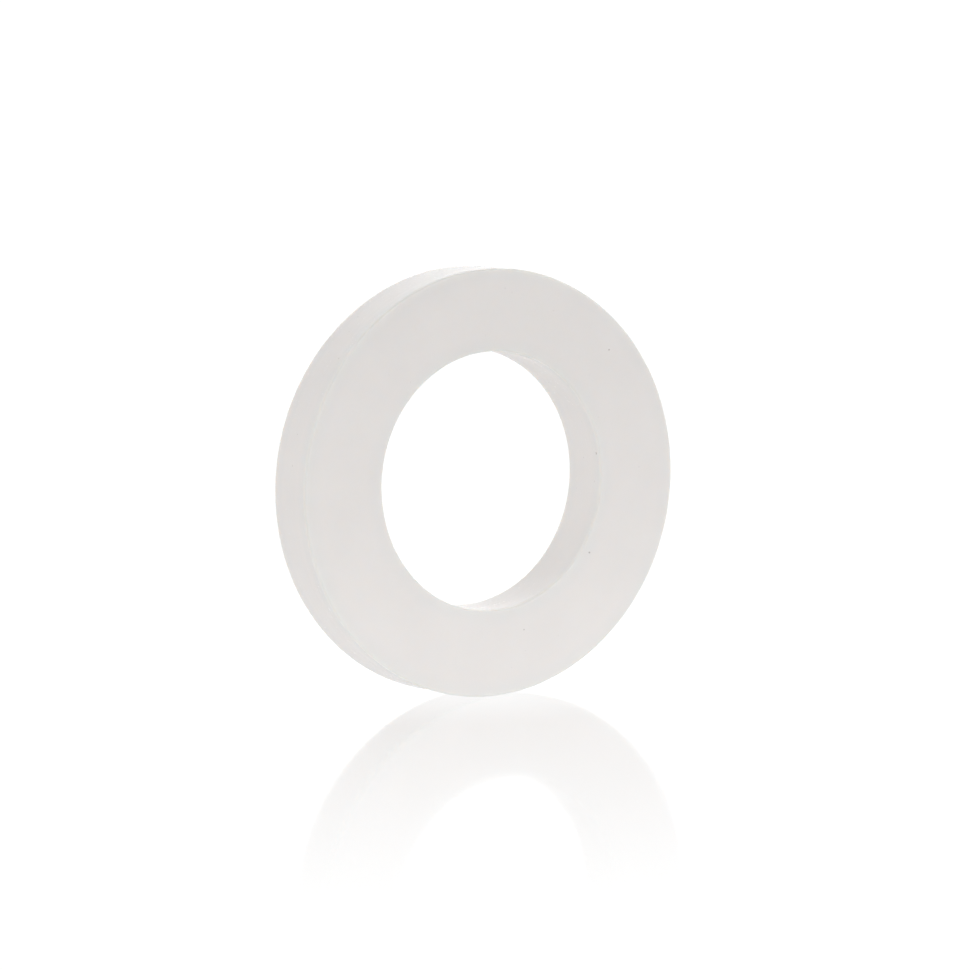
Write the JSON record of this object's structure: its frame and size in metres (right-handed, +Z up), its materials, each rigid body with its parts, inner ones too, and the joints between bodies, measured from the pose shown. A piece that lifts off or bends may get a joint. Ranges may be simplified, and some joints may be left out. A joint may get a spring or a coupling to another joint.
{
  "type": "flat washer",
  "caption": "Flat silicone rubber washer: a thick, milky, translucent ring with a rectangular section, for sealing or spacing a joint.",
  "frame": {"origin": "Centre of the ring, on its axis and halfway between its two faces.", "axes": "+Y runs along the axis from the front face to the back face, and +Z is up with the ring standing on its rim."},
  "size_m": [0.024, 0.0032, 0.024],
  "materials": {
    "milky_silicone": "Milky white translucent silicone rubber, satin, with soft rounded edges and a few fine dust specks."
  },
  "bodies": {
    "root": {"washer": "milky_silicone"}
  },
  "joints": []
}
